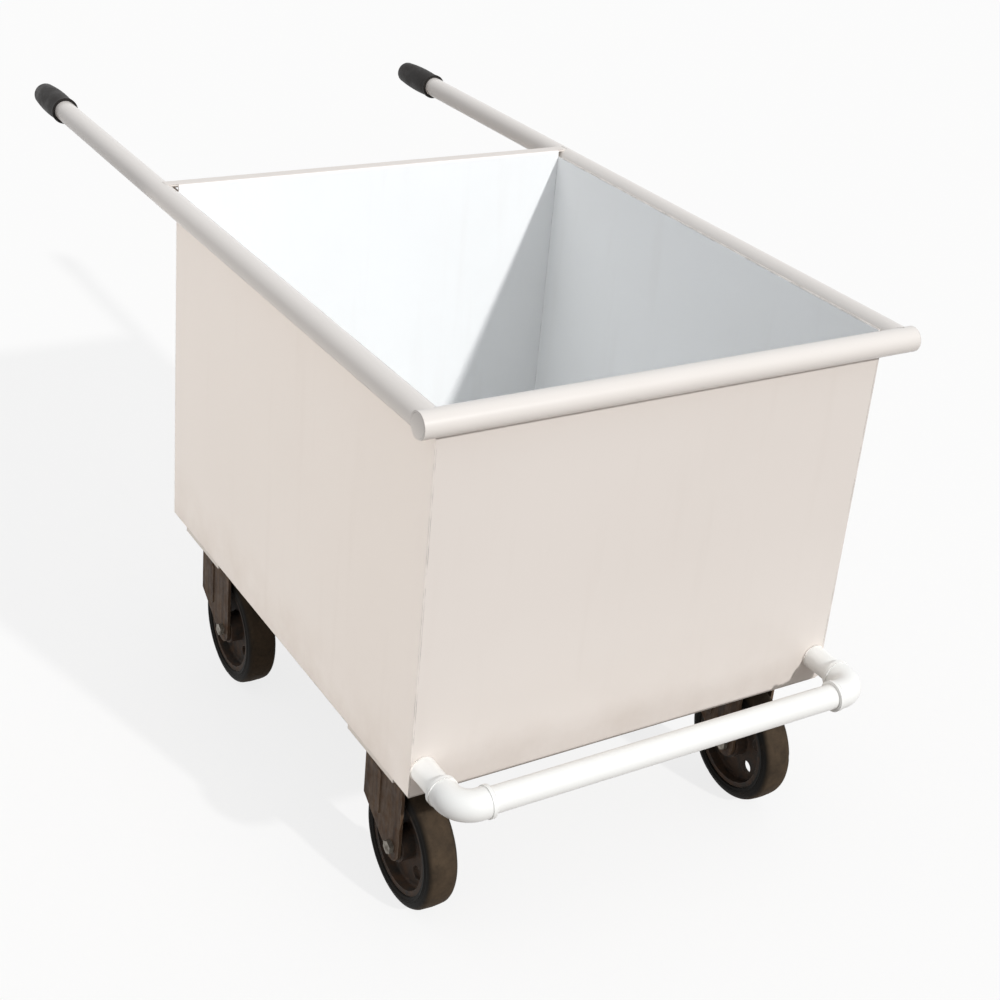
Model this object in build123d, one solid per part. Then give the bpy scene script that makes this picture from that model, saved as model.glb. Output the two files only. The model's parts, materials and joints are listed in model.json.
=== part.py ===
from build123d import *
from math import acos, atan2, cos, hypot, pi, sin
import os

# Offal cart: a welded sheet tub on an angle frame, with tube handles, a tube bumper and four swivel casters.
# Millimetres. The bumper end faces -Y, the handles reach to +Y, and the floor is at z = 0.

# Tub of welded sheet
tub_width = 740.0             # over the outer faces of the side sheets
tub_length = 880.0            # over the outer faces of the front and rear sheets
tub_height = 605.0            # from the sheets' lower edges to the top of the rim tubes
sheet = 2.5                   # sheet thickness
sheet_drop = 12.0             # how far the side and front sheets stop below the top of the rim tubes
lip_reach = 22.0              # folded lip of the rear sheet, outwards
lip_return = 12.0             # and its turned-down edge
lip_bend = 1.5                # inner radius of the lip's bends

# Rim tubes, which run on as the handles
tube_diameter = 38.1
tube_wall = 2.5
handle_reach = 512.0          # from the rear sheet to the grip
gusset_size = 52.0
gusset_thickness = 5.0
gusset_edge = 5.0             # flat left at each end of its hollow edge

# Grips
grip_length = 125.0
grip_wall = 3.6
grip_bulge = 1.6              # palm's middle above the sleeve, and its end below
grip_collar = 5.0             # width of the collar at the open end
grip_collar_slope = 3.0
grip_end = 5.0                # rubber beyond the tube's end
grip_round = 9.0

# Bumper
bumper_offset = 100.0         # from the front sheet to the bar's centre line
bumper_inset = 20.0           # leg's centre line in from a side sheet's outer face
bumper_rise = 43.0            # centre line above the sheets' lower edges
bumper_diameter = 38.1
bumper_wall = 3.0
elbow_wall = 3.4
elbow_bend = 32.0             # radius of the centre line
elbow_socket = 16.0           # how deep a tube sits in the elbow
elbow_bead = 1.5              # the ring round each mouth
elbow_bead_width = 6.0

# Frame of angle bar and pressed channel
frame_height = 40.0
frame_flange = 40.0
frame_thickness = 4.0
frame_show = 4.0              # how far the frame hangs below the sheets
channel_bend = 4.0
channel_margin = 2.0          # flat left beside the washers
pad_thickness = 8.0
pad_margin = 4.0

# Casters
caster_setback = 122.0        # kingpin in from the front or rear sheet's outer face
caster_trail = 38.0           # axle ahead of the kingpin
plate_length = 135.0
plate_width = 110.0
plate_thickness = 6.0
plate_corner = 8.0
bolt_margin = 15.0            # bolt's centre in from the plate's edges
kingpin_diameter = 16.0
kingpin_head_diameter = 34.0
kingpin_head = 5.0
kingpin_head_round = 1.6
ball_diameter = 10.0
ball_count = 14
race_radius = 34.0
race_wall = 2.7               # metal on each side of the groove
race_rise = 3.0               # raised ring on the crown
race_boss = 7.0               # pressed ring under the top plate
race_opening = 6.0            # between the two rings

# Fork, one pressed sheet
fork_sheet = 5.0
fork_bend = 14.0              # outer radius between crown and leg
fork_rear = 54.0              # leg's wide edge behind the kingpin
shoulder_rise = 35.0          # above the axle, where the wide edge starts to run in
fork_end_radius = 22.0
crown_corner = 4.0
rib_width = 12.0
rib_height = 2.4
rib_round = 1.4
rib_foot = 28.0               # rib's lower end above the axle
rib_gap = 2.0                 # rib's upper end below the bend
rib_offset = 8.0              # rib's centre behind the kingpin
crown_gap = 17.0              # tyre to the crown's underside
hub_gap = 0.4                 # bush flange to leg

# Wheel and axle
wheel_diameter = 200.0
tyre_width = 50.0
tyre_shoulder = 10.0
tyre_depth = 22.0
tyre_flare = 2.0              # how far the tyre's sides stand off the rim before they widen
rim_step = 3.0                # rim narrower than the tyre on each side
rim_wall = 8.0
web_thickness = 8.0
web_fillet = 4.0
web_hole_diameter = 22.0
web_hole_count = 5
hub_length = 56.0
hub_wall = 12.0
bush_wall = 4.0
bush_collar = 4.0             # flange's reach over the hub's end
bush_flange = 1.6
bush_depth = 18.0
sleeve_wall = 3.8
axle_diameter = 12.0

# Bolts
bolt_diameter = 10.0
bolt_head_flats = 17.0
bolt_head = 6.4
washer_diameter = 20.0
washer_thickness = 2.0
nut_height = 8.4
bolt_end = 3.0
axle_head_flats = 19.0
axle_head = 7.5
axle_nut = 12.0

# Clearances
bolt_clearance = 0.5          # radial, in a bolt hole
running_clearance = 0.05      # radial, shaft in bush and kingpin in crown
face_clearance = 0.3          # between faces that turn against each other
sleeve_clearance = 0.2        # radial, sleeve and fork over the axle bolt
cut_over = 1.0                # how far a cutting shape runs past a face

# Worked out from the values above
half_width = tub_width / 2
half_length = tub_length / 2
tube_radius = tube_diameter / 2
bumper_radius = bumper_diameter / 2
bumper_half_width = half_width - bumper_inset
elbow_length = elbow_bend + elbow_socket     # from the corner of the centre lines to the mouth
crown_bottom = wheel_diameter + crown_gap
crown_top = crown_bottom + fork_sheet
plate_bottom = crown_top + race_rise + race_opening + race_boss
caster_height = plate_bottom + plate_thickness
frame_bottom = caster_height + pad_thickness
frame_top = frame_bottom + frame_height
sheet_bottom = frame_bottom + frame_show
rim_top = sheet_bottom + tub_height
sheet_top = rim_top - sheet_drop
tube_z = rim_top - tube_radius
tube_x = half_width + tube_radius
front_tube_y = -half_length - tube_radius
handle_end = half_length + handle_reach + grip_length
bumper_y = -half_length - bumper_offset
bumper_z = sheet_bottom + bumper_rise
elbow_radius = bumper_radius + elbow_wall
bead_radius = elbow_radius + elbow_bead
cart_front = bumper_y - bead_radius
tub_y = -(cart_front + handle_end) / 2     # tub's centre, measured from the origin under the cart's middle
inner_half_width = half_width - sheet
inner_half_length = half_length - sheet
bolt_pitch_x = plate_width - 2 * bolt_margin
bolt_pitch_y = plate_length - 2 * bolt_margin
caster_x = inner_half_width - frame_flange / 2 - bolt_pitch_x / 2     # the outer bolts sit mid-flange
caster_y = half_length - caster_setback
wheel_radius = wheel_diameter / 2
leg_inner = hub_length / 2 + bush_flange + hub_gap
leg_outer = leg_inner + fork_sheet
leg_front = caster_trail + fork_end_radius     # leg's straight edge ahead of the kingpin
shoulder_z = wheel_radius + shoulder_rise
ball_radius = ball_diameter / 2
ball_z = crown_top + race_rise + race_opening / 2
race_half_width = ball_radius + face_clearance + race_wall
tyre_bore = wheel_radius - tyre_depth
rim_width = tyre_width - 2 * rim_step
sleeve_diameter = axle_diameter + 2 * (sleeve_clearance + sleeve_wall)
bush_diameter = sleeve_diameter + 2 * bush_wall
bush_flange_diameter = bush_diameter + 2 * bush_collar
hub_diameter = bush_diameter + 2 * hub_wall
bolt_hole = bolt_diameter / 2 + bolt_clearance
channel_half = bolt_pitch_y / 2 + washer_diameter / 2 + channel_margin + channel_bend + frame_thickness
pad_length = plate_length + 2 * pad_margin
pad_width = plate_width + 2 * pad_margin
sides = (-1, 1)


def block(x0, x1, y0, y1, z0, z1):
    """A box given by its six faces."""
    return Pos((x0 + x1) / 2, (y0 + y1) / 2, (z0 + z1) / 2) * Box(x1 - x0, y1 - y0, z1 - z0)


def rod(start, direction, radius, length):
    """A round bar from a point along a direction."""
    return extrude(Plane(origin=start, z_dir=direction) * Circle(radius), amount=length)


def tube(start, direction, radius, wall, length):
    """A round tube from a point along a direction."""
    ring = Circle(radius) - Circle(radius - wall)
    return extrude(Plane(origin=start, z_dir=direction) * ring, amount=length)


def hexagon(start, direction, flats, height):
    """A hexagonal head or nut blank."""
    corner_radius = flats / 2 / cos(pi / 6)
    return extrude(Plane(origin=start, z_dir=direction) * RegularPolygon(corner_radius, 6), amount=height)


def bolt_places():
    """The caster bolts' places, from their own kingpin."""
    return [(i * bolt_pitch_x / 2, j * bolt_pitch_y / 2) for i in sides for j in sides]


def caster_places():
    """The kingpins' places, each with its name."""
    return [
        ("front_left", -caster_x, -caster_y),
        ("front_right", caster_x, -caster_y),
        ("rear_left", -caster_x, caster_y),
        ("rear_right", caster_x, caster_y),
    ]


def all_bolt_places():
    return [(x + dx, y + dy) for name, x, y in caster_places() for dx, dy in bolt_places()]


def side_sheet(side):
    """Left (-1) or right (1) side sheet, which covers the front and rear sheets' edges."""
    outer = side * half_width
    inner = side * inner_half_width
    return block(min(outer, inner), max(outer, inner), -half_length, half_length, sheet_bottom, sheet_top)


def front_sheet():
    return block(-inner_half_width, inner_half_width, -half_length, -inner_half_length, sheet_bottom, sheet_top)


def rear_sheet():
    """Rear sheet with the lip that is folded out and down at its top, coped to the rim tubes."""
    inner_face = inner_half_length
    lip_end = half_length + lip_reach
    lip_under = rim_top - sheet
    wall_profile = Polygon(
        (inner_face, sheet_bottom),
        (half_length, sheet_bottom),
        (half_length, lip_under),
        (lip_end - sheet, lip_under),
        (lip_end - sheet, rim_top - lip_return),
        (lip_end, rim_top - lip_return),
        (lip_end, rim_top),
        (inner_face, rim_top),
        align=None,
    )
    inner_bends = [v for v in wall_profile.vertices() if abs(v.Y - lip_under) < 0.01]
    wall_profile = fillet(inner_bends, lip_bend)
    outer_bends = [v for v in wall_profile.vertices() if abs(v.Y - rim_top) < 0.01]
    wall_profile = fillet(outer_bends, lip_bend + sheet)
    folded = extrude(Plane.YZ * wall_profile, amount=tube_x, both=True)
    behind = block(-tube_x, tube_x, half_length, lip_end, rim_top - lip_return, rim_top)
    between = block(-inner_half_width, inner_half_width, inner_face, lip_end, sheet_bottom, rim_top)
    kept = folded & (between + behind)
    for side in sides:
        kept -= rod((side * tube_x, inner_face - cut_over, tube_z), (0, 1, 0), tube_radius,
                    lip_end - inner_face + 2 * cut_over)
    return kept


def floor_sheet():
    return block(-inner_half_width, inner_half_width, -inner_half_length, inner_half_length,
                 frame_top, frame_top + sheet)


def front_rim_tube():
    return tube((-tube_x - tube_radius, front_tube_y, tube_z), (1, 0, 0), tube_radius, tube_wall,
                2 * (tube_x + tube_radius))


def rim_end_caps():
    """The discs that close the front rim tube."""
    left = rod((-tube_x - tube_radius, front_tube_y, tube_z), (1, 0, 0), tube_radius - tube_wall, tube_wall)
    return [left, mirror(left, Plane.YZ)]


def side_rim_tube(side):
    """Side rim tube, coped to the front one, running back as the handle to just inside the grip's end."""
    length = handle_end - grip_end - front_tube_y
    long_tube = tube((side * tube_x, front_tube_y, tube_z), (0, 1, 0), tube_radius, tube_wall, length)
    reach = tube_x + 2 * tube_radius
    return long_tube - rod((-reach, front_tube_y, tube_z), (1, 0, 0), tube_radius, 2 * reach)


def handle_gusset(side):
    """Web plate in the corner between the rear sheet and the handle, in line with the side sheet."""
    top = rim_top - lip_return
    foot = top - gusset_size
    tip = half_length + gusset_size
    start = half_width - gusset_thickness if side > 0 else -half_width
    plate = block(start, start + gusset_thickness, half_length, tip, foot, top)
    return plate - rod((start, tip, foot), (1, 0, 0), gusset_size - gusset_edge, gusset_thickness)


def grip(side):
    """Rubber grip: a sleeve with a collar, a bulged palm and a rounded closed end."""
    outer = tube_radius + grip_wall
    high = outer + grip_bulge
    low = outer - grip_bulge
    collar_end = grip_collar + grip_collar_slope
    palm = ThreePointArc((outer, collar_end), (high, grip_length / 2), (low, grip_length - grip_round))
    bottom = grip_length - grip_end
    rest = Polyline((low, grip_length - grip_round), (low, grip_length), (0, grip_length),
                    (0, bottom), (tube_radius, bottom), (tube_radius, 0),
                    (high, 0), (high, grip_collar), (outer, collar_end))
    turned = revolve(make_face([palm, *rest.edges()]), Axis.Y)
    tip = turned.edges().filter_by(GeomType.CIRCLE).group_by(Axis.Y)[-1]
    turned = fillet(tip, grip_round - cut_over)
    return Pos(side * tube_x, half_length + handle_reach, tube_z) * turned


def bumper_bar():
    half = bumper_half_width - elbow_bend
    return tube((-half, bumper_y, bumper_z), (1, 0, 0), bumper_radius, bumper_wall, 2 * half)


def bumper_leg(side):
    start = (side * bumper_half_width, -half_length, bumper_z)
    return tube(start, (0, -1, 0), bumper_radius, bumper_wall, bumper_offset - elbow_bend)


def bumper_elbow(side):
    """Socket elbow with a bead round each mouth."""
    corner = (side * bumper_half_width, bumper_y, bumper_z)
    mouth_leg = (corner[0], bumper_y + elbow_length, bumper_z)
    mouth_bar = (corner[0] - side * elbow_length, bumper_y, bumper_z)
    path = FilletPolyline(mouth_leg, corner, mouth_bar, radius=elbow_bend)
    section = Plane(origin=mouth_leg, z_dir=(0, -1, 0)) * Circle(elbow_radius)
    body = sweep(section, path=path)
    body += rod(mouth_leg, (0, -1, 0), bead_radius, elbow_bead_width)
    body += rod(mouth_bar, (side, 0, 0), bead_radius, elbow_bead_width)
    bore = sweep(Plane(origin=mouth_leg, z_dir=(0, -1, 0)) * Circle(bumper_radius - bumper_wall), path=path)
    body -= bore
    body -= rod(mouth_leg, (0, -1, 0), bumper_radius, elbow_socket)
    body -= rod(mouth_bar, (side, 0, 0), bumper_radius, elbow_socket)
    return body


def mitred_angle(half_run, outer):
    """Angle bar along X with mitred ends, its upright outside at y = -outer and its flange turned in."""
    def strip(width, height):
        outline = Polygon((-half_run, -outer), (half_run, -outer), (half_run - width, width - outer),
                          (width - half_run, width - outer), align=None)
        return extrude(Plane.XY.offset(frame_bottom) * outline, amount=height)
    return strip(frame_flange, frame_thickness) + strip(frame_thickness, frame_height)


def cut_bolt_holes(piece):
    for x, y in all_bolt_places():
        piece -= rod((x, y, caster_height - cut_over), (0, 0, 1), bolt_hole,
                     pad_thickness + frame_thickness + 2 * cut_over)
    return piece


def end_rail(side):
    """Front (-1) or rear (1) rail of the frame."""
    rail = mitred_angle(inner_half_width, inner_half_length)
    return rail if side < 0 else Rot(0, 0, 180) * rail


def side_rail(side):
    """Left (-1) or right (1) rail of the frame, with the holes of the outer caster bolts."""
    rail = mitred_angle(inner_half_length, inner_half_width)
    return cut_bolt_holes(Rot(0, 0, 90 * side) * rail)


def cross_channel(side):
    """Pressed channel across the cart over the front (-1) or rear (1) casters, open upwards."""
    half = channel_half
    wall = frame_thickness
    profile = Polygon((-half, 0), (half, 0), (half, frame_height), (half - wall, frame_height),
                      (half - wall, wall), (wall - half, wall), (wall - half, frame_height),
                      (-half, frame_height), align=None)
    outer_bends = [v for v in profile.vertices() if abs(v.Y) < 0.01]
    profile = fillet(outer_bends, channel_bend + wall)
    inner_bends = [v for v in profile.vertices() if abs(v.Y - wall) < 0.01 and abs(v.X) < half]
    profile = fillet(inner_bends, channel_bend)
    reach = inner_half_width - frame_flange
    bar = extrude(Plane(origin=(0, side * caster_y, frame_bottom), x_dir=(0, 1, 0), z_dir=(1, 0, 0)) * profile,
                  amount=reach, both=True)
    return cut_bolt_holes(bar)


def caster_pads():
    """The plates between the frame and the casters' top plates."""
    pads = []
    for name, x, y in caster_places():
        pad = Pos(x, y, caster_height + pad_thickness / 2) * Box(pad_width, pad_length, pad_thickness)
        pads.append(cut_bolt_holes(pad))
    return pads


def caster_bolts():
    bolts = []
    grip_height = plate_thickness + pad_thickness + frame_thickness
    shank = grip_height + washer_thickness + nut_height + bolt_end
    for x, y in all_bolt_places():
        head = hexagon((x, y, plate_bottom - bolt_head), (0, 0, 1), bolt_head_flats, bolt_head)
        bolts.append(head + rod((x, y, plate_bottom), (0, 0, 1), bolt_diameter / 2, shank))
    return bolts


def caster_washers():
    top = frame_bottom + frame_thickness
    ring = Circle(washer_diameter / 2) - Circle(bolt_hole)
    return [extrude(Plane(origin=(x, y, top)) * ring, amount=washer_thickness) for x, y in all_bolt_places()]


def caster_nuts():
    seat = frame_bottom + frame_thickness + washer_thickness
    nuts = []
    for x, y in all_bolt_places():
        blank = hexagon((x, y, seat), (0, 0, 1), bolt_head_flats, nut_height)
        nuts.append(blank - rod((x, y, seat), (0, 0, 1), bolt_diameter / 2, nut_height))
    return nuts


def race_groove():
    """The ring-shaped hollow that the balls run in, at the kingpin."""
    return Pos(0, 0, ball_z) * Torus(race_radius, ball_radius + face_clearance)


def top_plate():
    """Caster's top plate with the pressed race ring under it."""
    plate = Pos(0, 0, plate_bottom + plate_thickness / 2) * Box(plate_width, plate_length, plate_thickness)
    plate = fillet(plate.edges().filter_by(Axis.Z), plate_corner)
    ring = Circle(race_radius + race_half_width) - Circle(race_radius - race_half_width)
    plate += extrude(Plane.XY.offset(plate_bottom - race_boss) * ring, amount=race_boss)
    plate -= race_groove()
    through = plate_thickness + 2 * cut_over
    plate -= rod((0, 0, plate_bottom - cut_over), (0, 0, 1), kingpin_diameter / 2, through)
    for dx, dy in bolt_places():
        plate -= rod((dx, dy, plate_bottom - cut_over), (0, 0, 1), bolt_hole, through)
    return plate


def kingpin():
    """Kingpin, riveted into the top plate, whose head carries the crown from below."""
    seat = crown_bottom - face_clearance
    pin = rod((0, 0, seat), (0, 0, 1), kingpin_diameter / 2, caster_height - seat)
    head = rod((0, 0, seat - kingpin_head), (0, 0, 1), kingpin_head_diameter / 2, kingpin_head)
    head = fillet(head.edges().filter_by(GeomType.CIRCLE).group_by(Axis.Z)[0], kingpin_head_round)
    return pin + head


def race_balls():
    turn = 2 * pi / ball_count
    return [
        Pos(race_radius * cos(i * turn), race_radius * sin(i * turn), ball_z) * Sphere(ball_radius)
        for i in range(ball_count)
    ]


def leg_outline():
    """The fork's side view: a wide leg whose rear edge runs in, tangent to the round end about the axle."""
    run = fork_rear + caster_trail
    bearing = atan2(shoulder_rise, run) - acos(fork_end_radius / hypot(run, shoulder_rise))
    rear_tangent = (-caster_trail + fork_end_radius * cos(bearing),
                    wheel_radius + fork_end_radius * sin(bearing))
    front_tangent = (-leg_front, wheel_radius)
    low = (-caster_trail, wheel_radius - fork_end_radius)
    return make_face([
        Line((-leg_front, crown_top), front_tangent),
        ThreePointArc(front_tangent, low, rear_tangent),
        Line(rear_tangent, (fork_rear, shoulder_z)),
        Line((fork_rear, shoulder_z), (fork_rear, crown_top)),
        Line((fork_rear, crown_top), (-leg_front, crown_top)),
    ])


def arch(half, top, bend):
    """An upside-down U's outline, with rounded upper corners."""
    outline = Polygon((-half, 0), (-half, top), (half, top), (half, 0), align=None)
    return fillet([v for v in outline.vertices() if v.Y > 0], bend)


def leg_rib(side):
    """The long rib pressed outwards in a leg."""
    top = crown_top - fork_bend - rib_gap
    foot = wheel_radius + rib_foot
    outline = SlotCenterToCenter(top - foot - rib_width, rib_width, rotation=90)
    middle = (side * leg_outer, rib_offset, (top + foot) / 2)
    place = Plane(origin=middle, x_dir=(0, side, 0), z_dir=(side, 0, 0))
    raised = extrude(place * outline, amount=rib_height)
    face = raised.faces().sort_by(Axis.X)[-1 if side > 0 else 0]
    return fillet(face.edges(), rib_round)


def fork():
    """Pressed fork: one sheet bent over into a crown and two legs, with a race ring, ribs and axle holes."""
    section = arch(leg_outer, crown_top, fork_bend) - arch(leg_inner, crown_bottom, fork_bend - fork_sheet)
    across = extrude(Plane.XZ * section, amount=leg_front + fork_rear, both=True)
    along = extrude(Plane.YZ * leg_outline(), amount=leg_outer, both=True)
    along = fillet(along.edges().filter_by(Axis.X).group_by(Axis.Z)[-1], crown_corner)
    body = across & along
    ring = Circle(race_radius + race_half_width) - Circle(race_radius - race_half_width)
    body += extrude(Plane.XY.offset(crown_top - fork_sheet / 2) * ring, amount=fork_sheet / 2 + race_rise)
    body -= race_groove()
    body -= rod((0, 0, crown_bottom - cut_over), (0, 0, 1), kingpin_diameter / 2 + running_clearance,
                fork_sheet + 2 * cut_over)
    for side in sides:
        body += leg_rib(side)
    return body - rod((-leg_outer - cut_over, -caster_trail, wheel_radius), (1, 0, 0),
                      axle_diameter / 2 + sleeve_clearance, 2 * (leg_outer + cut_over))


def axle_set():
    """Axle bolt, the sleeve that it clamps between the legs, and its nut."""
    y, z = -caster_trail, wheel_radius
    shank = 2 * leg_outer + axle_nut + bolt_end
    head = hexagon((-leg_outer, y, z), (-1, 0, 0), axle_head_flats, axle_head)
    bolt = head + rod((-leg_outer, y, z), (1, 0, 0), axle_diameter / 2, shank)
    sleeve = tube((-leg_inner, y, z), (1, 0, 0), sleeve_diameter / 2, sleeve_wall, 2 * leg_inner)
    blank = hexagon((leg_outer, y, z), (1, 0, 0), axle_head_flats, axle_nut)
    nut = blank - rod((leg_outer, y, z), (1, 0, 0), axle_diameter / 2, axle_nut)
    return [bolt, sleeve, nut]


def at_axle(piece):
    return Pos(0, -caster_trail, wheel_radius) * piece


def both_halves(points):
    """The face inside a half profile of (across, radius) points, and its mirror image."""
    mirrored = [(-x, r) for x, r in reversed(points)]
    return make_face(Polyline(*points, *mirrored, points[0]))


def tyre():
    """Solid rubber tyre with round shoulders and a flat crown."""
    half = tyre_width / 2
    profile = both_halves([(rim_width / 2, tyre_bore), (half, tyre_bore + tyre_flare), (half, wheel_radius)])
    ring = revolve(profile, Axis.X)
    outer_edges = ring.edges().filter_by(GeomType.CIRCLE).sort_by(lambda e: e.radius)[-2:]
    return at_axle(fillet(outer_edges, tyre_shoulder))


def wheel_core():
    """Cast wheel centre: rim, web with round holes, and hub bored for the bushes."""
    rim_inside = tyre_bore - rim_wall
    half_web = web_thickness / 2
    profile = both_halves([
        (hub_length / 2, bush_diameter / 2),
        (hub_length / 2, hub_diameter / 2),
        (half_web, hub_diameter / 2),
        (half_web, rim_inside),
        (rim_width / 2, rim_inside),
        (rim_width / 2, tyre_bore),
    ])
    inner_corners = [v for v in profile.vertices() if abs(abs(v.X) - half_web) < 0.01]
    core = revolve(fillet(inner_corners, web_fillet), Axis.X)
    hole_circle = (hub_diameter / 2 + rim_inside) / 2
    for i in range(web_hole_count):
        turn = 2 * pi * i / web_hole_count
        core -= rod((-web_thickness, hole_circle * sin(turn), hole_circle * cos(turn)), (1, 0, 0),
                    web_hole_diameter / 2, 2 * web_thickness)
    return at_axle(core)


def wheel_bushes():
    """The two flanged bushes pressed into the hub, which run on the axle sleeve."""
    bore = sleeve_diameter / 2 + running_clearance
    start = hub_length / 2 - bush_depth
    body = tube((start, 0, 0), (1, 0, 0), bush_diameter / 2, bush_diameter / 2 - bore, bush_depth + bush_flange)
    flange = tube((hub_length / 2, 0, 0), (1, 0, 0), bush_flange_diameter / 2,
                  bush_flange_diameter / 2 - bore, bush_flange)
    bush = at_axle(body + flange)
    return [bush, mirror(bush, Plane.YZ)]


def save(name, pieces, x=0.0, y=0.0):
    """Writes one node, moved from the tub's centre to the cart's origin."""
    solids = []
    for piece in pieces if isinstance(pieces, list) else [pieces]:
        solids += (Pos(x, y + tub_y, 0) * piece).solids()
    export_step(solids[0] if len(solids) == 1 else Compound(children=solids), f"parts/{name}.step")


def main():
    os.makedirs("parts", exist_ok=True)
    save("front_panel", front_sheet())
    save("rear_panel", rear_sheet())
    save("floor_panel", floor_sheet())
    save("front_rim_tube", front_rim_tube())
    save("rim_end_caps", rim_end_caps())
    save("front_rail", end_rail(-1))
    save("rear_rail", end_rail(1))
    save("front_cross_channel", cross_channel(-1))
    save("rear_cross_channel", cross_channel(1))
    save("handle_gussets", [handle_gusset(side) for side in sides])
    save("bumper_bar", bumper_bar())
    for side, word in ((-1, "left"), (1, "right")):
        save(f"{word}_panel", side_sheet(side))
        save(f"{word}_rim_tube", side_rim_tube(side))
        save(f"{word}_rail", side_rail(side))
        save(f"{word}_grip", grip(side))
        save(f"{word}_bumper_leg", bumper_leg(side))
        save(f"{word}_bumper_elbow", bumper_elbow(side))
    save("caster_pads", caster_pads())
    save("caster_bolts", caster_bolts())
    save("caster_washers", caster_washers())
    save("caster_nuts", caster_nuts())
    caster_pieces = {
        "top_plate": top_plate(),
        "kingpin": kingpin(),
        "race_balls": race_balls(),
        "fork": fork(),
        "axle": axle_set(),
        "wheel_core": wheel_core(),
        "tyre": tyre(),
        "wheel_bushes": wheel_bushes(),
    }
    for place, x, y in caster_places():
        for name, piece in caster_pieces.items():
            save(f"{place}_{name}", piece, x, y)


main()
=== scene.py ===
import json
import math
import random

import bmesh
import bpy
from mathutils import Matrix, Vector, noise


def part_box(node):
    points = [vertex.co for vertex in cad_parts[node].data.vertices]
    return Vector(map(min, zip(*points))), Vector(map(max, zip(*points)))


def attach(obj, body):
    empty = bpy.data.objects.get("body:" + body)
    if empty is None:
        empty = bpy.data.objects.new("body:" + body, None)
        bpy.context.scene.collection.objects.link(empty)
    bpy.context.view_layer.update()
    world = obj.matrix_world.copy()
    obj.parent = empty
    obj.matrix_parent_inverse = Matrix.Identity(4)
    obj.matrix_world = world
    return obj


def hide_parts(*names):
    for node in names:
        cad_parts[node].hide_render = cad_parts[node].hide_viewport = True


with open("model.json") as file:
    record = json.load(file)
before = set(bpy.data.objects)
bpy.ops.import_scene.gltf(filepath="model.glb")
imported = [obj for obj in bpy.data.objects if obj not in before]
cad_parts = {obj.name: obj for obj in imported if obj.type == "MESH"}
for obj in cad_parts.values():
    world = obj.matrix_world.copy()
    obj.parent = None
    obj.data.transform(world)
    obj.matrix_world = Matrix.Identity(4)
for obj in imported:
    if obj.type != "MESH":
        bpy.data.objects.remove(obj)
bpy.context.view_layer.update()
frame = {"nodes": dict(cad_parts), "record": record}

scene = bpy.context.scene
nodes = frame["nodes"]
casterNames = ("front_left", "front_right", "rear_left", "rear_right")
mm = 0.001
print("frame loaded:", len(nodes), "nodes")


# small helpers

def toLinear(hexColour):
    # sRGB hex to the linear colour that a shader socket takes
    parts = [int(hexColour[i:i + 2], 16) / 255 for i in (1, 3, 5)]
    return [p / 12.92 if p <= 0.04045 else ((p + 0.055) / 1.055) ** 2.4 for p in parts] + [1.0]


def addNode(tree, kind, inputs=None, **settings):
    # one node with its settings, constants and links; a node given as a value is linked from its first live output
    node = tree.nodes.new(kind)
    for name, value in settings.items():
        setattr(node, name, value)
    live = [socket for socket in node.inputs if socket.enabled]
    for key, value in (inputs or {}).items():
        socket = live[key] if isinstance(key, int) else next(s for s in live if s.name == key)
        if isinstance(value, bpy.types.Node):
            value = next(s for s in value.outputs if s.enabled)
        if isinstance(value, bpy.types.NodeSocket):
            tree.links.new(value, socket)
        else:
            socket.default_value = value
    return node


def newMaterial(name):
    material = bpy.data.materials.new(name)
    material.use_nodes = True
    tree = material.node_tree
    tree.nodes.clear()
    place = addNode(tree, "ShaderNodeTexCoord").outputs["Object"]
    return material, tree, place


def wornEdges(tree, place, radiusMm, breakMm):
    # 1 along a sharp edge, broken up by noise: where hands, chains and other carts rub the coat through
    rounded = addNode(tree, "ShaderNodeBevel", {"Radius": radiusMm * mm}, samples=4)
    flat = addNode(tree, "ShaderNodeNewGeometry").outputs["Normal"]
    agree = addNode(tree, "ShaderNodeVectorMath", {0: rounded, 1: flat}, operation="DOT_PRODUCT").outputs["Value"]
    edge = addNode(tree, "ShaderNodeMapRange", {"Value": agree, "From Min": 0.99, "From Max": 0.93})
    patches = addNode(tree, "ShaderNodeTexNoise", {"Vector": place, "Scale": 1 / (breakMm * mm), "Detail": 5.0})
    broken = addNode(tree, "ShaderNodeMapRange", {"Value": patches, "From Min": 0.42, "From Max": 0.6})
    return addNode(tree, "ShaderNodeMath", {0: edge, 1: broken}, operation="MULTIPLY")


# materials

enamelLook = {
    "outside": "#E3DBD4",      # off-white, darker and warmer than the inside: painted shade with warm ground bounce on the outer faces
    "inside": "#F6F7F7",       # brighter white: painted light of the sunlit, inter-reflecting inside
    "dust": "#B9AA9B",
    "bare": "#8F8983",         # steel showing at a rubbed edge
    "waveMm": 240,             # slow waves of thin welded sheet
    "peelMm": 2.4,             # orange peel of a sprayed coat, about three times as coarse as it is, to show
    "dustRise": 0.11,          # metres above the lower edge where the dust ends
}


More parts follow.
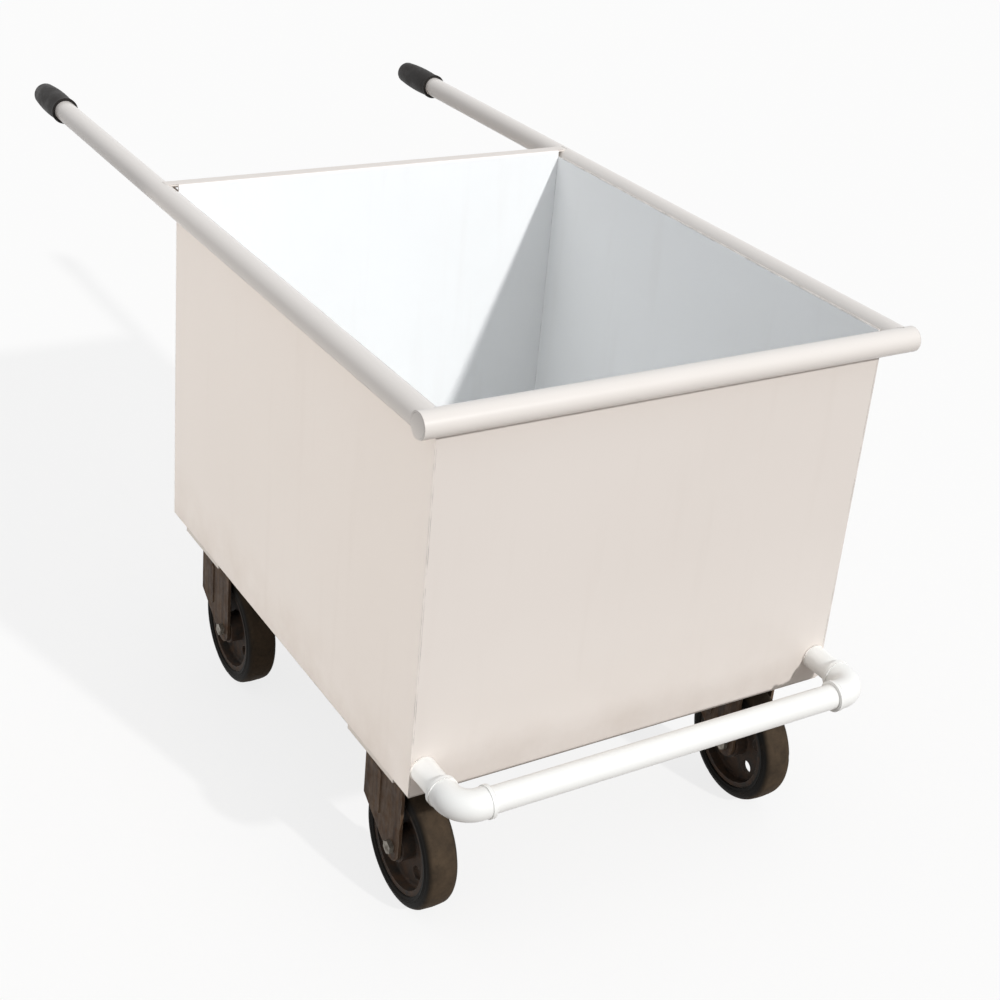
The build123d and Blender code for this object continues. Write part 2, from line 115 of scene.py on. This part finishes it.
def enamelledSheet():
    # alkyd enamel sprayed on sheet steel: an even semi-gloss film over slow waves, dusty towards its lower edge, its
    # outside painted darker as shade and its inside painted brighter as light
    look = enamelLook
    material, tree, place = newMaterial("alkydEnamelOnSheet")
    low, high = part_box("left_panel")
    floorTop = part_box("floor_panel")[1].z
    middle, halfLength, halfWidth = (low.y + high.y) / 2, (high.y - low.y) / 2, -low.x
    skin = 1.2 * mm            # half of the sheet's thickness
    axes = addNode(tree, "ShaderNodeSeparateXYZ", {"Vector": place})
    across = addNode(tree, "ShaderNodeMath", {0: axes.outputs["X"]}, operation="ABSOLUTE")
    ahead = addNode(tree, "ShaderNodeMath", {0: axes.outputs["Y"], 1: middle}, operation="SUBTRACT")
    along = addNode(tree, "ShaderNodeMath", {0: ahead}, operation="ABSOLUTE")
    within = addNode(tree, "ShaderNodeMath", {0: across, 1: halfWidth - skin}, operation="LESS_THAN")
    between = addNode(tree, "ShaderNodeMath", {0: along, 1: halfLength - skin}, operation="LESS_THAN")
    above = addNode(tree, "ShaderNodeMath", {0: axes.outputs["Z"], 1: floorTop - skin}, operation="GREATER_THAN")
    ring = addNode(tree, "ShaderNodeMath", {0: within, 1: between}, operation="MULTIPLY")
    inside = addNode(tree, "ShaderNodeMath", {0: ring, 1: above}, operation="MULTIPLY")
    outside = addNode(tree, "ShaderNodeMath", {0: 1.0, 1: inside}, operation="SUBTRACT")
    rise = addNode(tree, "ShaderNodeMapRange", {"Value": axes.outputs["Z"], "From Min": low.z,
                                                "From Max": low.z + look["dustRise"], "To Min": 1.0, "To Max": 0.0})
    cloud = addNode(tree, "ShaderNodeTexNoise", {"Vector": place, "Scale": 11.0, "Detail": 5.0, "Roughness": 0.6})
    patch = addNode(tree, "ShaderNodeMapRange", {"Value": cloud, "From Min": 0.35, "From Max": 0.75})
    lowDust = addNode(tree, "ShaderNodeMath", {0: rise, 1: patch}, operation="MULTIPLY")
    splash = addNode(tree, "ShaderNodeMath", {0: lowDust, 1: outside}, operation="MULTIPLY")
    slow = addNode(tree, "ShaderNodeTexNoise", {"Vector": place, "Scale": 3.1, "Detail": 3.0})
    haze = addNode(tree, "ShaderNodeMapRange", {"Value": slow, "From Min": 0.3, "From Max": 0.7, "To Max": 0.05})
    runsPlace = addNode(tree, "ShaderNodeMapping", {"Vector": place, "Scale": (26.0, 26.0, 2.2)})
    runs = addNode(tree, "ShaderNodeTexNoise", {"Vector": runsPlace, "Scale": 1.0, "Detail": 4.0, "Roughness": 0.6})
    faintRuns = addNode(tree, "ShaderNodeMapRange", {"Value": runs, "From Min": 0.55, "From Max": 0.8, "To Max": 0.06})
    stain = addNode(tree, "ShaderNodeMath", {0: haze, 1: faintRuns}, operation="ADD")
    dirt = addNode(tree, "ShaderNodeMath", {0: splash, 1: 0.3, 2: stain}, operation="MULTIPLY_ADD")
    # painted light and shade: one enamel split into a shaded copy on the outside and a lit copy on the inside
    paint = addNode(tree, "ShaderNodeMix", {"Factor": inside, "A": toLinear(look["outside"]),
                                            "B": toLinear(look["inside"])}, data_type="RGBA")
    dusty = addNode(tree, "ShaderNodeMix", {"Factor": dirt, "A": paint, "B": toLinear(look["dust"])}, data_type="RGBA")
    rub = wornEdges(tree, place, 1.2, 30)
    base = addNode(tree, "ShaderNodeMix", {"Factor": rub, "A": dusty, "B": toLinear(look["bare"])}, data_type="RGBA")
    wave = addNode(tree, "ShaderNodeTexNoise", {"Vector": place, "Scale": 1 / (look["waveMm"] * mm), "Detail": 1.0})
    peel = addNode(tree, "ShaderNodeTexNoise", {"Vector": place, "Scale": 1 / (look["peelMm"] * mm), "Detail": 1.0})
    slowBump = addNode(tree, "ShaderNodeBump", {"Height": wave, "Distance": 6 * mm, "Strength": 0.35})
    fineBump = addNode(tree, "ShaderNodeBump", {"Height": peel, "Distance": 0.05 * mm, "Strength": 0.25,
                                                "Normal": slowBump})
    gloss = addNode(tree, "ShaderNodeMapRange", {"Value": splash, "To Min": 0.38, "To Max": 0.7})
    shader = addNode(tree, "ShaderNodeBsdfPrincipled", {"Base Color": base, "Roughness": gloss, "Normal": fineBump,
                                                        "Coat Weight": 0.25, "Coat Roughness": 0.22})
    addNode(tree, "ShaderNodeOutputMaterial", {"Surface": shader})
    return material


def enamelledTube(name, colour, wear):
    # alkyd enamel brushed on welded tube: glossier than the sheet, hazed by dust, scuffed grey here and there
    material, tree, place = newMaterial(name)
    cloud = addNode(tree, "ShaderNodeTexNoise", {"Vector": place, "Scale": 7.0, "Detail": 3.0})
    haze = addNode(tree, "ShaderNodeMapRange", {"Value": cloud, "From Min": 0.35, "From Max": 0.75, "To Max": 0.08})
    dusty = addNode(tree, "ShaderNodeMix", {"Factor": haze, "A": toLinear(colour), "B": toLinear("#CFC7BE")},
                    data_type="RGBA")
    speckle = addNode(tree, "ShaderNodeTexNoise", {"Vector": place, "Scale": 140.0, "Detail": 6.0, "Roughness": 0.7})
    scuff = addNode(tree, "ShaderNodeMapRange", {"Value": speckle, "From Min": 0.72 - wear, "From Max": 0.76 - wear,
                                                 "To Max": 0.5})
    edge = wornEdges(tree, place, 1.0, 18)
    rub = addNode(tree, "ShaderNodeMath", {0: scuff, 1: edge}, operation="MAXIMUM")
    base = addNode(tree, "ShaderNodeMix", {"Factor": rub, "A": dusty, "B": toLinear("#8E8780")}, data_type="RGBA")
    gloss = addNode(tree, "ShaderNodeMapRange", {"Value": rub, "To Min": 0.3, "To Max": 0.6})
    peel = addNode(tree, "ShaderNodeTexNoise", {"Vector": place, "Scale": 1 / (1.8 * mm), "Detail": 1.0})
    fineBump = addNode(tree, "ShaderNodeBump", {"Height": peel, "Distance": 0.04 * mm, "Strength": 0.3})
    shader = addNode(tree, "ShaderNodeBsdfPrincipled", {"Base Color": base, "Roughness": gloss, "Normal": fineBump,
                                                        "Coat Weight": 0.15, "Coat Roughness": 0.15})
    addNode(tree, "ShaderNodeOutputMaterial", {"Surface": shader})
    return material


def gripRubber():
    # soft PVC slipped over the tube: near black, satin, polished by hands in patches, with a fine moulded grain
    material, tree, place = newMaterial("mouldedGripPvc")
    patches = addNode(tree, "ShaderNodeTexNoise", {"Vector": place, "Scale": 22.0, "Detail": 5.0, "Roughness": 0.65})
    dusty = addNode(tree, "ShaderNodeMapRange", {"Value": patches, "From Min": 0.5, "From Max": 0.85, "To Max": 0.2})
    base = addNode(tree, "ShaderNodeMix", {"Factor": dusty, "A": toLinear("#15110F"), "B": toLinear("#4B4540")},
                   data_type="RGBA")
    gloss = addNode(tree, "ShaderNodeMapRange", {"Value": patches, "From Min": 0.3, "From Max": 0.7, "To Min": 0.42,
                                                 "To Max": 0.72})
    grain = addNode(tree, "ShaderNodeTexNoise", {"Vector": place, "Scale": 1 / (1.1 * mm), "Detail": 3.0})
    fineBump = addNode(tree, "ShaderNodeBump", {"Height": grain, "Distance": 0.15 * mm, "Strength": 0.4})
    shader = addNode(tree, "ShaderNodeBsdfPrincipled", {"Base Color": base, "Roughness": gloss, "Normal": fineBump,
                                                        "Specular IOR Level": 0.3})
    addNode(tree, "ShaderNodeOutputMaterial", {"Surface": shader})
    return material


def tyreRubber():
    # carbon-filled solid rubber: black and dull on the walls, worn brown with yard dust where it rolls
    material, tree, place = newMaterial("solidTyreRubber")
    worn = addNode(tree, "ShaderNodeAttribute", attribute_name="treadWear").outputs["Fac"]
    patches = addNode(tree, "ShaderNodeTexNoise", {"Vector": place, "Scale": 24.0, "Detail": 6.0, "Roughness": 0.7})
    share = addNode(tree, "ShaderNodeMapRange", {"Value": patches, "From Min": 0.3, "From Max": 0.75, "To Min": 0.25,
                                                 "To Max": 1.0})
    rolled = addNode(tree, "ShaderNodeMath", {0: worn, 1: share}, operation="MULTIPLY")
    wallDust = addNode(tree, "ShaderNodeMapRange", {"Value": patches, "From Min": 0.5, "From Max": 0.85,
                                                    "To Max": 0.3})
    dust = addNode(tree, "ShaderNodeMath", {0: rolled, 1: wallDust}, operation="MAXIMUM")
    base = addNode(tree, "ShaderNodeMix", {"Factor": dust, "A": toLinear("#100E0B"), "B": toLinear("#57493A")},
                   data_type="RGBA")
    gloss = addNode(tree, "ShaderNodeMapRange", {"Value": dust, "To Min": 0.62, "To Max": 0.95})
    grit = addNode(tree, "ShaderNodeTexNoise", {"Vector": place, "Scale": 1 / (1.6 * mm), "Detail": 5.0,
                                                "Roughness": 0.7})
    fineBump = addNode(tree, "ShaderNodeBump", {"Height": grit, "Distance": 0.3 * mm, "Strength": 0.5})
    shader = addNode(tree, "ShaderNodeBsdfPrincipled", {"Base Color": base, "Roughness": gloss, "Normal": fineBump,
                                                        "Specular IOR Level": 0.12})
    addNode(tree, "ShaderNodeOutputMaterial", {"Surface": shader})
    return material


def pressedSteel():
    # hot-rolled sheet pressed to shape under a thin brown primer: dull, streaked down the legs, bare at its edges
    material, tree, place = newMaterial("primedPressedSteel")
    streakPlace = addNode(tree, "ShaderNodeMapping", {"Vector": place, "Scale": (70.0, 70.0, 9.0)})
    streaks = addNode(tree, "ShaderNodeTexNoise", {"Vector": streakPlace, "Scale": 1.0, "Detail": 5.0,
                                                   "Roughness": 0.6})
    light = addNode(tree, "ShaderNodeMapRange", {"Value": streaks, "From Min": 0.35, "From Max": 0.68})
    primer = addNode(tree, "ShaderNodeMix", {"Factor": light, "A": toLinear("#38281C"), "B": toLinear("#6B5541")},
                     data_type="RGBA")
    rust = addNode(tree, "ShaderNodeTexNoise", {"Vector": place, "Scale": 60.0, "Detail": 6.0, "Roughness": 0.7})
    rusty = addNode(tree, "ShaderNodeMapRange", {"Value": rust, "From Min": 0.55, "From Max": 0.7, "To Max": 0.55})
    brown = addNode(tree, "ShaderNodeMix", {"Factor": rusty, "A": primer, "B": toLinear("#5A3A22")}, data_type="RGBA")
    edge = wornEdges(tree, place, 1.4, 12)
    base = addNode(tree, "ShaderNodeMix", {"Factor": edge, "A": brown, "B": toLinear("#8C7D6D")}, data_type="RGBA")
    gloss = addNode(tree, "ShaderNodeMapRange", {"Value": rust, "From Min": 0.3, "From Max": 0.7, "To Min": 0.5,
                                                 "To Max": 0.8})
    metal = addNode(tree, "ShaderNodeMath", {0: edge, 1: 0.6}, operation="MULTIPLY")
    scale = addNode(tree, "ShaderNodeTexNoise", {"Vector": place, "Scale": 1 / (3.0 * mm), "Detail": 5.0,
                                                 "Roughness": 0.7})
    fineBump = addNode(tree, "ShaderNodeBump", {"Height": scale, "Distance": 0.3 * mm, "Strength": 0.4})
    shader = addNode(tree, "ShaderNodeBsdfPrincipled", {"Base Color": base, "Roughness": gloss, "Metallic": metal,
                                                        "Normal": fineBump, "Specular IOR Level": 0.3})
    addNode(tree, "ShaderNodeOutputMaterial", {"Surface": shader})
    return material


def castIron():
    # sand-cast grey iron under an old dark coat: dull, pebbled by the sand, rusty in blotches
    material, tree, place = newMaterial("sandCastIron")
    blotch = addNode(tree, "ShaderNodeTexNoise", {"Vector": place, "Scale": 55.0, "Detail": 5.0, "Roughness": 0.6})
    shares = addNode(tree, "ShaderNodeMapRange", {"Value": blotch, "From Min": 0.35, "From Max": 0.7})
    coat = addNode(tree, "ShaderNodeMix", {"Factor": shares, "A": toLinear("#2B2723"), "B": toLinear("#4F3A2A")},
                   data_type="RGBA")
    edge = wornEdges(tree, place, 1.5, 10)
    base = addNode(tree, "ShaderNodeMix", {"Factor": edge, "A": coat, "B": toLinear("#6F675F")}, data_type="RGBA")
    sand = addNode(tree, "ShaderNodeTexVoronoi", {"Vector": place, "Scale": 1 / (1.5 * mm)})
    pebble = addNode(tree, "ShaderNodeBump", {"Height": sand, "Distance": 0.2 * mm, "Strength": 0.5})
    shader = addNode(tree, "ShaderNodeBsdfPrincipled", {"Base Color": base, "Roughness": 0.72, "Normal": pebble,
                                                        "Specular IOR Level": 0.35})
    addNode(tree, "ShaderNodeOutputMaterial", {"Surface": shader})
    return material


def bareMetal(name, colour, tarnish, roughness, grainMm):
    # turned or plated metal: a metallic sheen with fine tool marks that dulls in blotches
    material, tree, place = newMaterial(name)
    patches = addNode(tree, "ShaderNodeTexNoise", {"Vector": place, "Scale": 110.0, "Detail": 5.0, "Roughness": 0.6})
    dull = addNode(tree, "ShaderNodeMapRange", {"Value": patches, "From Min": 0.35, "From Max": 0.7})
    base = addNode(tree, "ShaderNodeMix", {"Factor": dull, "A": toLinear(colour), "B": toLinear(tarnish)},
                   data_type="RGBA")
    gloss = addNode(tree, "ShaderNodeMapRange", {"Value": dull, "To Min": roughness,
                                                 "To Max": min(1.0, roughness + 0.25)})
    marks = addNode(tree, "ShaderNodeTexNoise", {"Vector": place, "Scale": 1 / (grainMm * mm), "Detail": 3.0})
    fineBump = addNode(tree, "ShaderNodeBump", {"Height": marks, "Distance": 0.05 * mm, "Strength": 0.3})
    shader = addNode(tree, "ShaderNodeBsdfPrincipled", {"Base Color": base, "Roughness": gloss, "Metallic": 1.0,
                                                        "Normal": fineBump})
    addNode(tree, "ShaderNodeOutputMaterial", {"Surface": shader})
    return material


finishes = {
    "tub_paint": enamelledSheet(),
    "bumper_paint": enamelledTube("alkydEnamelOnBumper", "#F6F6F3", 0.02),
    "frame_paint": enamelledTube("alkydEnamelOnFrame", "#CBC2B8", 0.08),
    "grip_rubber": gripRubber(),
    "tyre": tyreRubber(),
    "wheel_casting": castIron(),
    "caster_steel": pressedSteel(),
    "zinc_fastener": bareMetal("zincPlatedSteel", "#9A958C", "#5E564C", 0.4, 0.8),
    "bearing_steel": bareMetal("polishedBearingSteel", "#B8B8B8", "#8A8A8A", 0.15, 0.5),
    "bush_bronze": bareMetal("sinteredBronze", "#9C7B4B", "#6B5230", 0.4, 0.6),
}
tubeFinish = enamelledTube("alkydEnamelOnRimTube", "#E6E0DA", 0.015)

for part in frame["record"]["subparts"]:
    node = nodes[part["node"]]
    node.data.materials.clear()
    isTube = part["node"].endswith(("rim_tube", "rim_end_caps"))
    node.data.materials.append(tubeFinish if isTube else finishes[part["material_slot"]])
print("materials made:", len(finishes) + 1)


# tyres

tyreLook = {
    "around": 160,             # steps round the wheel
    "flare": 2.0,              # mm from the rim's edge to the full width
    "depth": 22.0,             # mm of rubber outside the rim
    "rimStep": 3.0,            # mm, rim narrower than the tyre on each side
    "shoulder": 10.0,          # mm, radius between wall and tread
    "crown": 0.8,              # mm, middle of the tread above its sides
    "rings": ((6.5, 1.0), (9.0, 0.6)),     # mm above the rim and mm proud, moulded on the wall
    "chips": 26,               # pieces knocked out of the shoulders
    "chipDepth": 1.3,          # mm
    "seed": 11,
}


def tyreProfile(halfWidth, radius):
    # (across, from the axle) from one bead to the other, in mm, as the mould cuts it
    look = tyreLook
    bore = radius - look["depth"]
    half = [(halfWidth - look["rimStep"], bore), (halfWidth - 0.6, bore + 0.4), (halfWidth, bore + look["flare"])]
    for rise, proud in look["rings"]:
        foot = bore + rise
        half += [(halfWidth, foot - 1.0), (halfWidth + proud, foot - 0.5), (halfWidth + proud, foot + 0.5),
                 (halfWidth, foot + 1.0)]
    for step in range(9):
        turn = math.radians(90 * step / 8)
        half.append((halfWidth - look["shoulder"] * (1 - math.cos(turn)),
                     radius - look["crown"] - look["shoulder"] * (1 - math.sin(turn))))
    for share in (0.75, 0.5, 0.25, 0.0):
        half.append(((halfWidth - look["shoulder"]) * share, radius - look["crown"] * share * share))
    return half + [(-across, out) for across, out in reversed(half[:-1])]


def makeTyre(place, seed):
    # spun from its mould's profile, then chipped at the shoulders and worn a little uneven
    look = tyreLook
    low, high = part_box(place + "_tyre")
    centre = (low + high) / 2
    halfWidth, radius = (high.x - low.x) / 2 / mm, (high.z - low.z) / 2 / mm
    profile = tyreProfile(halfWidth, radius)
    dice = random.Random(seed)
    chips = [(dice.uniform(0, math.tau), dice.choice((-1, 1)), dice.uniform(0.3, 1.0)) for _ in range(look["chips"])]
    mesh = bpy.data.meshes.new(place + "_solid_tyre")
    build = bmesh.new()
    wear = build.verts.layers.float.new("treadWear")
    rows = []
    for step in range(look["around"]):
        turn = math.tau * step / look["around"]
        row = []
        for across, out in profile:
            shoulder = max(0.0, 1 - abs(abs(across) - halfWidth + 3) / 4) if out > radius - 9 else 0.0
            for chipTurn, side, size in chips:
                gap = abs((turn - chipTurn + math.pi) % math.tau - math.pi) * radius
                if across * side > 0 and shoulder > 0:
                    out -= look["chipDepth"] * size * shoulder * max(0.0, 1 - gap / (7 * size))
            if out > radius - 4:
                out += 0.25 * noise.noise(Vector((across / 9, 6 * math.cos(turn), 6 * math.sin(turn) + seed)))
            vert = build.verts.new((centre.x + across * mm, centre.y + out * mm * math.cos(turn),
                                    centre.z + out * mm * math.sin(turn)))
            vert[wear] = min(1.0, max(0.0, (out - radius + 6) / 5))
            row.append(vert)
        rows.append(row)
    for row, after in zip(rows, rows[1:] + rows[:1]):
        for i in range(len(profile) - 1):
            build.faces.new((row[i], row[i + 1], after[i + 1], after[i]))
        build.faces.new((row[-1], row[0], after[0], after[-1]))      # seat on the rim
    bmesh.ops.recalc_face_normals(build, faces=build.faces)
    for face in build.faces:
        face.smooth = True
    build.to_mesh(mesh)
    build.free()
    mesh.materials.append(finishes["tyre"])
    tyre = bpy.data.objects.new(place + "_solid_tyre", mesh)
    scene.collection.objects.link(tyre)
    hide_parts(place + "_tyre")
    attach(tyre, place + "_wheel")


for count, place in enumerate(casterNames):
    makeTyre(place, tyreLook["seed"] + count)
print("tyres made")


# weld beads

beadLook = {
    "pitch": 2.4,              # mm from one ripple to the next
    "size": 1.7,               # mm, half of the bead's width
    "uneven": 0.14,            # share by which ripples differ
    "seed": 5,
    "stitch": 34.0,            # mm, length of a stitch under the rim
    "stitchPitch": 146.0,      # mm
}


def makeBeadTree():
    # ripples of set metal, one overlapping the next, along each seam
    tree = bpy.data.node_groups.new("weldBead", "GeometryNodeTree")
    tree.interface.new_socket("Geometry", in_out="INPUT", socket_type="NodeSocketGeometry")
    for name in ("Pitch", "Size", "Uneven"):
        tree.interface.new_socket(name, in_out="INPUT", socket_type="NodeSocketFloat")
    tree.interface.new_socket("Seed", in_out="INPUT", socket_type="NodeSocketInt")
    tree.interface.new_socket("Finish", in_out="INPUT", socket_type="NodeSocketMaterial")
    tree.interface.new_socket("Geometry", in_out="OUTPUT", socket_type="NodeSocketGeometry")
    given = addNode(tree, "NodeGroupInput").outputs
    seam = addNode(tree, "GeometryNodeMeshToCurve", {"Mesh": given["Geometry"]})
    points = addNode(tree, "GeometryNodeResampleCurve", {"Curve": seam, "Length": given["Pitch"]}, mode="LENGTH")
    ripple = addNode(tree, "GeometryNodeMeshUVSphere", {"Segments": 8, "Rings": 5, "Radius": 1.0})
    along = addNode(tree, "GeometryNodeInputTangent")
    turned = addNode(tree, "FunctionNodeAlignRotationToVector", {"Vector": along}, axis="Z")
    fewer = addNode(tree, "ShaderNodeMath", {0: 1.0, 1: given["Uneven"]}, operation="SUBTRACT")
    more = addNode(tree, "ShaderNodeMath", {0: 1.0, 1: given["Uneven"]}, operation="ADD")
    spread = addNode(tree, "FunctionNodeRandomValue", {"Min": fewer, "Max": more, "Seed": given["Seed"]},
                     data_type="FLOAT")
    width = addNode(tree, "ShaderNodeMath", {0: spread, 1: given["Size"]}, operation="MULTIPLY")
    size = addNode(tree, "ShaderNodeCombineXYZ", {"X": width, "Y": width, "Z": given["Pitch"]})
    ripples = addNode(tree, "GeometryNodeInstanceOnPoints", {"Points": points, "Instance": ripple, "Rotation": turned,
                                                             "Scale": size})
    real = addNode(tree, "GeometryNodeRealizeInstances", {"Geometry": ripples})
    smooth = addNode(tree, "GeometryNodeSetShadeSmooth", {"Geometry": real})
    finished = addNode(tree, "GeometryNodeSetMaterial", {"Geometry": smooth, "Material": given["Finish"]})
    addNode(tree, "NodeGroupOutput", {"Geometry": finished})
    return tree


def bakeNodes(name, points, edges, tree, values):
    # a mesh of paths in, the tree's result out as a plain mesh
    paths = bpy.data.meshes.new(name + "Paths")
    paths.from_pydata(points, edges, [])
    source = bpy.data.objects.new(name + "Paths", paths)
    scene.collection.objects.link(source)
    modifier = source.modifiers.new("nodes", "NODES")
    modifier.node_group = tree
    for item in tree.interface.items_tree:
        if item.in_out == "INPUT" and item.name in values:
            modifier[item.identifier] = values[item.name]
    evaluated = source.evaluated_get(bpy.context.evaluated_depsgraph_get())
    mesh = bpy.data.meshes.new_from_object(evaluated)
    mesh.name = name
    source.modifiers.remove(modifier)
    bpy.data.objects.remove(source)
    bpy.data.meshes.remove(paths)
    made = bpy.data.objects.new(name, mesh)
    scene.collection.objects.link(made)
    return made


def seamPaths():
    # seams of the tub and bumper as runs of points: where the tubes, sheets and bumper legs meet
    look = beadLook
    leftLow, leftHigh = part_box("left_panel")
    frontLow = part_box("front_panel")[0]
    tubeLow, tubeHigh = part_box("front_rim_tube")
    tubeMiddle = (tubeLow.z + tubeHigh.z) / 2
    sheetTop = leftHigh.z
    side, front, rear = -leftLow.x, frontLow.y, leftHigh.y
    size = look["size"] * mm
    drop = math.sqrt((tubeHigh.z - tubeLow.z) * size)          # down to where the bead touches tube and sheet
    runs = []
    corner = 12 * mm
    for sign in (-1, 1):
        runs.append([(sign * side, front + corner, sheetTop), (sign * side, rear - corner, sheetTop)])
    runs.append([(-side + corner, front, sheetTop), (side - corner, front, sheetTop)])
    stitch, pitch = look["stitch"] * mm, look["stitchPitch"] * mm
    underZ = tubeMiddle - drop
    count = int((rear - front - 2 * stitch) / pitch)
    for step in range(count + 1):
        start = front + stitch + step * pitch
        for sign in (-1, 1):
            runs.append([(sign * (side + size / 2), start, underZ), (sign * (side + size / 2), start + stitch, underZ)])
    count = int((2 * side - 2 * stitch) / pitch)
    for step in range(count + 1):
        start = -side + stitch + step * pitch
        runs.append([(start, front - size / 2, underZ), (start + stitch, front - size / 2, underZ)])
    for leg in ("left_bumper_leg", "right_bumper_leg"):
        low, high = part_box(leg)
        middle, radius = (low + high) / 2, (high.z - low.z) / 2
        ring = []
        for step in range(33):
            turn = math.tau * step / 32
            ring.append((middle.x + radius * math.cos(turn), front - size / 2, middle.z + radius * math.sin(turn)))
        runs.append(ring)
    return runs


def makeBeads():
    points, edges = [], []
    for run in seamPaths():
        start = len(points)
        points += run
        edges += [(start + i, start + i + 1) for i in range(len(run) - 1)]
    look = beadLook
    beads = bakeNodes("weld_beads", points, edges, makeBeadTree(),
                      {"Pitch": look["pitch"] * mm, "Size": look["size"] * mm, "Uneven": look["uneven"],
                       "Seed": look["seed"], "Finish": tubeFinish})
    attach(beads, "root")
    print("weld beads made:", len(beads.data.polygons), "faces")


makeBeads()


# floor, light and camera

stageLook = {
    "floorSeen": "#F4F2EF",
    "floorGlow": 0.8,                     # share of plain white in what the camera sees of the floor
    "groundLight": "#7E736A",              # what the floor sends back to the object
    "floorSize": 30.0,
    "sunFrom": (0.216, -0.819, 0.532),     # towards the lamp, read from the shadows in the tub and under the rim
    "sunStrength": 2.2,
    "sunAngle": 2.0,                       # degrees
    "skyStrength": 0.62,
    "boxSpread": 4.0,                      # degrees, softboxes behind grids that light one side each
    "boxColour": "#FFFBF6",
    "boxes": {                             # place, aim, width and height in metres, watts
        "leftBox": ((-1.9, -0.257, 0.53), (-1, 0, 0), 0.95, 0.60, 0.95),
        "rightBox": ((1.9, -0.257, 0.53), (1, 0, 0), 0.95, 0.60, 0.6),
        "rearBox": ((0.0, 2.2, 0.53), (0, 1, 0), 0.82, 0.60, 0.6),
    },
}


def seenDirectly(tree):
    # 1 where the camera, a gloss ray or a clear material looks
    path = addNode(tree, "ShaderNodeLightPath").outputs
    seen = addNode(tree, "ShaderNodeMath", {0: path["Is Camera Ray"], 1: path["Is Glossy Ray"]}, operation="MAXIMUM")
    return addNode(tree, "ShaderNodeMath", {0: seen, 1: path["Is Transmission Ray"]}, operation="MAXIMUM")


def makeWorld():
    world = bpy.data.worlds.new("studioWorld")
    world.use_nodes = True
    tree = world.node_tree
    tree.nodes.clear()
    sky = addNode(tree, "ShaderNodeBackground", {"Color": toLinear("#F3F6FA"), "Strength": stageLook["skyStrength"]})
    white = addNode(tree, "ShaderNodeBackground", {"Color": (1, 1, 1, 1), "Strength": 1.0})
    mixed = addNode(tree, "ShaderNodeMixShader", {0: seenDirectly(tree), 1: sky, 2: white})
    addNode(tree, "ShaderNodeOutputWorld", {"Surface": mixed})
    scene.world = world


def makeFloor():
    half = stageLook["floorSize"] / 2
    mesh = bpy.data.meshes.new("floor")
    mesh.from_pydata([(-half, -half, 0), (half, -half, 0), (half, half, 0), (-half, half, 0)], [], [(0, 1, 2, 3)])
    floor = bpy.data.objects.new("floor", mesh)
    scene.collection.objects.link(floor)
    material = bpy.data.materials.new("paleFloor")
    material.use_nodes = True
    tree = material.node_tree
    tree.nodes.clear()
    pale = addNode(tree, "ShaderNodeBsdfDiffuse", {"Color": toLinear(stageLook["floorSeen"])})
    glow = addNode(tree, "ShaderNodeEmission", {"Color": (1, 1, 1, 1), "Strength": 1.0})
    seen = addNode(tree, "ShaderNodeMixShader", {0: stageLook["floorGlow"], 1: pale, 2: glow})
    ground = addNode(tree, "ShaderNodeBsdfDiffuse", {"Color": toLinear(stageLook["groundLight"])})
    mixed = addNode(tree, "ShaderNodeMixShader", {0: seenDirectly(tree), 1: ground, 2: seen})
    addNode(tree, "ShaderNodeOutputMaterial", {"Surface": mixed})
    mesh.materials.append(material)


def addLamp(name, kind, towards, strength, colour="#FFFFFF", place=(0, 0, 0), **settings):
    data = bpy.data.lights.new(name, kind)
    data.energy = strength
    data.color = toLinear(colour)[:3]
    for key, value in settings.items():
        setattr(data, key, value)
    lamp = bpy.data.objects.new(name, data)
    lamp.location = place
    lamp.rotation_euler = Vector(towards).to_track_quat("Z", "Y").to_euler()
    lamp.visible_camera = False
    scene.collection.objects.link(lamp)


def makeLight():
    look = stageLook
    addLamp("sun", "SUN", look["sunFrom"], look["sunStrength"], angle=math.radians(look["sunAngle"]))
    for name, (place, towards, width, height, watts) in look["boxes"].items():
        addLamp(name, "AREA", towards, watts, look["boxColour"], place, shape="RECTANGLE", size=width, size_y=height,
                spread=math.radians(look["boxSpread"]))


cameraView = {
    "place": (-1.35826, -2.35608, 1.75374),
    "yaw": 33.013,       # from +Y towards +X, degrees
    "pitch": -24.61,
    "roll": 5.358,
    "focalPx": 1724.06,  # of a picture 1000 wide
    "shiftY": -0.10,
}


def makeCamera():
    view = cameraView
    yaw, pitch, roll = (math.radians(view[key]) for key in ("yaw", "pitch", "roll"))
    ahead = Vector((math.sin(yaw) * math.cos(pitch), math.cos(yaw) * math.cos(pitch), math.sin(pitch)))
    right = Vector((math.cos(yaw), -math.sin(yaw), 0))
    up = right.cross(ahead)
    turnedRight = math.cos(roll) * right + math.sin(roll) * up
    turnedUp = math.cos(roll) * up - math.sin(roll) * right
    data = bpy.data.cameras.new("camera")
    data.sensor_width = 36
    data.lens = view["focalPx"] * 36 / 1000
    data.shift_y = view["shiftY"]
    camera = bpy.data.objects.new("camera", data)
    turned = Matrix((turnedRight, turnedUp, -ahead)).transposed().to_4x4()
    camera.matrix_world = Matrix.Translation(view["place"]) @ turned
    scene.collection.objects.link(camera)
    scene.camera = camera


makeWorld()
makeFloor()
makeLight()
makeCamera()
scene.view_settings.view_transform = "Standard"
print("stage set")
